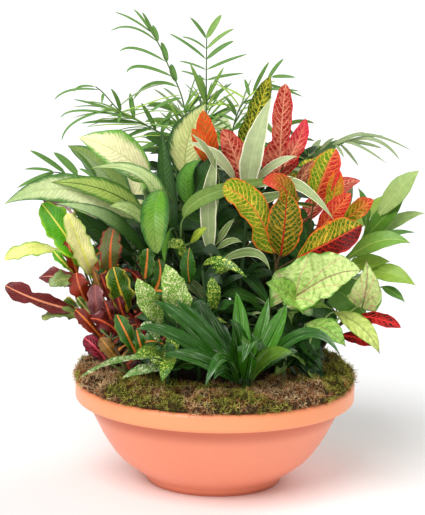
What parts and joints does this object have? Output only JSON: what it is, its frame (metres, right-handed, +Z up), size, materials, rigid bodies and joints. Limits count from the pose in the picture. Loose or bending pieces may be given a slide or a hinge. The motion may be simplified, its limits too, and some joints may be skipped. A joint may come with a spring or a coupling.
{
  "type": "dish garden",
  "caption": "Low round bowl with a band rim, filled with soil and moss and planted close with mixed foliage plants.",
  "frame": {"origin": "centre of the bowl's flat foot, on the surface that it stands on", "axes": "+Z up along the bowl's axis, front of the planting towards -Y, +X to the right seen from the front"},
  "size_m": [0.5215, 0.4867, 0.592],
  "materials": {
    "bowl_plastic": "satin moulded plastic in a terracotta colour",
    "soil_mix": "dark damp potting mix",
    "moss_mat": "dried brown-green moss fibres",
    "dumb_cane_leaf": "soft leaf, cream centre and green margin",
    "ribbon_leaf": "smooth green leaf",
    "white_edged_leaf": "grey-green leaf with white margins",
    "broad_croton_leaf": "glossy leaf, red, orange and yellow-veined",
    "curly_croton_leaf": "glossy waved leaf, maroon, olive and cream",
    "speckled_leaf": "glossy green leaf with cream dots",
    "strap_leaf": "glossy dark green strap leaf",
    "arrowhead_leaf": "soft pale green leaf with pinkish veins",
    "lily_leaf": "satin green leaf",
    "palm_leaf": "thin green palm leaflets"
  },
  "bodies": {
    "root": {"bowl": "bowl_plastic", "soil": "soil_mix", "moss": "moss_mat", "dumb_cane_stem_1": "dumb_cane_leaf", "dumb_cane_stem_2": "dumb_cane_leaf", "green_ribbon_stem": "ribbon_leaf", "white_edged_stem_1": "white_edged_leaf", "white_edged_stem_2": "white_edged_leaf", "broad_croton_stem_1": "broad_croton_leaf", "broad_croton_stem_2": "broad_croton_leaf", "broad_croton_stem_3": "broad_croton_leaf", "broad_croton_stem_4": "broad_croton_leaf", "broad_croton_stem_5": "broad_croton_leaf", "broad_croton_stem_6": "broad_croton_leaf", "curly_croton_stem_1": "curly_croton_leaf", "curly_croton_stem_2": "curly_croton_leaf", "curly_croton_stem_3": "curly_croton_leaf", "curly_croton_stem_4": "curly_croton_leaf", "curly_croton_stem_5": "curly_croton_leaf", "curly_croton_stem_6": "curly_croton_leaf", "speckled_stem_1": "speckled_leaf", "speckled_stem_2": "speckled_leaf", "speckled_stem_3": "speckled_leaf", "dracaena_rosette": "strap_leaf", "arrowhead_stem_1": "arrowhead_leaf", "arrowhead_stem_2": "arrowhead_leaf", "lily_bunch_1": "lily_leaf", "lily_bunch_2": "lily_leaf", "palm_frond_1": "palm_leaf", "palm_frond_2": "palm_leaf", "palm_frond_3": "palm_leaf", "palm_frond_4": "palm_leaf", "palm_frond_5": "palm_leaf", "palm_frond_6": "palm_leaf", "back_dumb_cane_stem": "dumb_cane_leaf", "back_croton_stem_1": "broad_croton_leaf", "back_croton_stem_2": "curly_croton_leaf", "back_speckled_stem": "speckled_leaf", "back_lily_bunch": "lily_leaf", "back_white_edged_stem": "white_edged_leaf", "back_strap_rosette": "strap_leaf", "back_palm_frond_1": "palm_leaf", "back_palm_frond_2": "palm_leaf"}
  },
  "joints": []
}
